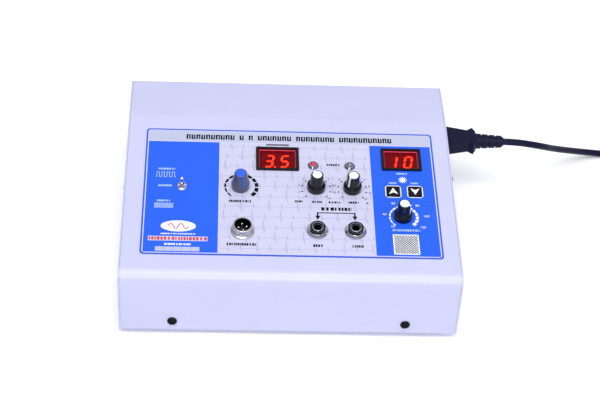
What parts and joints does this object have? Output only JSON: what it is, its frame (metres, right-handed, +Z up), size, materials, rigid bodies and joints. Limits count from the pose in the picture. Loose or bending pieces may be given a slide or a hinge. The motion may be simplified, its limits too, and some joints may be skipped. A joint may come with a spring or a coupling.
{
  "type": "ultrasound therapy device",
  "caption": "Bench-top ultrasound and nerve-stimulation therapy console with a sloped control panel, display windows, knobs, keys, sockets and a mains cord.",
  "frame": {"origin": "on the table under the middle of the console's bounding box, cord left out", "axes": "+X to the user's right along the panel's width, +Y towards the rear wall, +Z up from the table"},
  "size_m": [0.5237, 0.2561, 0.0962],
  "materials": {
    "case_paint": "satin powder coat",
    "label_print": "printed polycarbonate",
    "zinc_steel": "zinc plated",
    "bright_chrome": "polished",
    "nickel_brass": "plated contacts",
    "foot_rubber": "matt",
    "black_plastic": "fine texture",
    "black_gloss": "polished",
    "grey_plastic": "polished",
    "blue_cap": "polished",
    "white_cap": "polished",
    "red_filter": "tinted clear",
    "module_plastic": "matt",
    "lamp_lens": "clear",
    "lamp_white": "clear",
    "board_green": "solder mask",
    "cord_pvc": "satin",
    "core_steel": "varnished laminations",
    "winding_tape": "tape",
    "fin_aluminium": "black anodised",
    "screw_black": "black oxide"
  },
  "bodies": {
    "console": {"base_tray": "case_paint", "top_cover": "case_paint", "rubber_feet": "foot_rubber", "foot_screws": "zinc_steel", "cover_screws": "screw_black", "control_label": "label_print", "power_display_bezel": "black_plastic", "timer_display_bezel": "black_plastic", "display_filters": "red_filter", "display_modules": "module_plastic", "panel_boards": "board_green", "panel_spacers": "zinc_steel", "timer_led": "lamp_white", "led_bezels": "bright_chrome", "channel_leds": "lamp_lens", "potentiometers": "zinc_steel", "pot_nuts": "zinc_steel", "mode_switch": "zinc_steel", "mode_switch_nut": "bright_chrome", "probe_socket_shell": "bright_chrome", "probe_socket_insert": "black_plastic", "probe_socket_pins": "nickel_brass", "probe_socket_nut": "bright_chrome", "output_jacks": "black_plastic", "jack_sleeves": "bright_chrome", "jack_nuts": "bright_chrome", "mains_inlet": "black_plastic", "inlet_pins": "nickel_brass", "inlet_screws": "zinc_steel", "cord_connector": "cord_pvc", "mains_cord": "cord_pvc", "cord_coil": "cord_pvc", "mains_plug": "cord_pvc", "plug_pins": "nickel_brass", "power_board": "board_green", "output_board": "board_green", "board_pillars": "zinc_steel", "board_screws": "zinc_steel", "heat_sink": "fin_aluminium", "transformer_core": "core_steel", "transformer_winding": "winding_tape", "rocker_frame": "black_plastic", "fuse_holder": "black_plastic", "fuse_cap": "black_plastic"},
    "intensity_control": {"intensity_knob": "grey_plastic", "intensity_knob_cap": "blue_cap", "intensity_shaft": "zinc_steel"},
    "channel1_control": {"channel1_knob": "black_gloss", "channel1_knob_cap": "white_cap", "channel1_shaft": "zinc_steel"},
    "channel2_control": {"channel2_knob": "black_gloss", "channel2_knob_cap": "white_cap", "channel2_shaft": "zinc_steel"},
    "frequency_control": {"frequency_knob": "black_gloss", "frequency_knob_cap": "white_cap", "frequency_shaft": "zinc_steel"},
    "mode_lever": {"mode_switch_lever": "bright_chrome"},
    "up_key_cap": {"up_key": "black_gloss"},
    "down_key_cap": {"down_key": "black_gloss"},
    "power_rocker_body": {"power_rocker": "black_gloss"}
  },
  "joints": [
    {"name": "intensity_turn", "type": "hinge", "parent": "console", "child": "intensity_control", "pos_m": [-0.0404, -0.01843, 0.07839], "axis": [0, -0.1736, 0.9848], "range_deg": [0, 300]},
    {"name": "channel1_turn", "type": "hinge", "parent": "console", "child": "channel1_control", "pos_m": [0.0215, -0.01853, 0.07838], "axis": [0, -0.1736, 0.9848], "range_deg": [-184, 116]},
    {"name": "channel2_turn", "type": "hinge", "parent": "console", "child": "channel2_control", "pos_m": [0.0511, -0.01853, 0.07838], "axis": [0, -0.1736, 0.9848], "range_deg": [-291, 9]},
    {"name": "frequency_turn", "type": "hinge", "parent": "console", "child": "frequency_control", "pos_m": [0.0908, -0.04739, 0.07329], "axis": [0, -0.1736, 0.9848], "range_deg": [-36, 264]},
    {"name": "mode_toggle", "type": "hinge", "parent": "console", "child": "mode_lever", "pos_m": [-0.0878, -0.02079, 0.08082], "axis": [1, 0, 0], "range_deg": [-25, 0]},
    {"name": "up_key_press", "type": "slide", "parent": "console", "child": "up_key_cap", "axis": [0, 0.1736, -0.9848], "range_m": [0, 0.0005], "stiffness_N_per_m": 1500, "springref_m": -0.0004},
    {"name": "down_key_press", "type": "slide", "parent": "console", "child": "down_key_cap", "axis": [0, 0.1736, -0.9848], "range_m": [0, 0.0005], "stiffness_N_per_m": 1500, "springref_m": -0.0004},
    {"name": "power_rock", "type": "hinge", "parent": "console", "child": "power_rocker_body", "pos_m": [0.07, 0.1062, 0.046], "axis": [0, 0, 1], "range_deg": [-10.7, 0]}
  ]
}
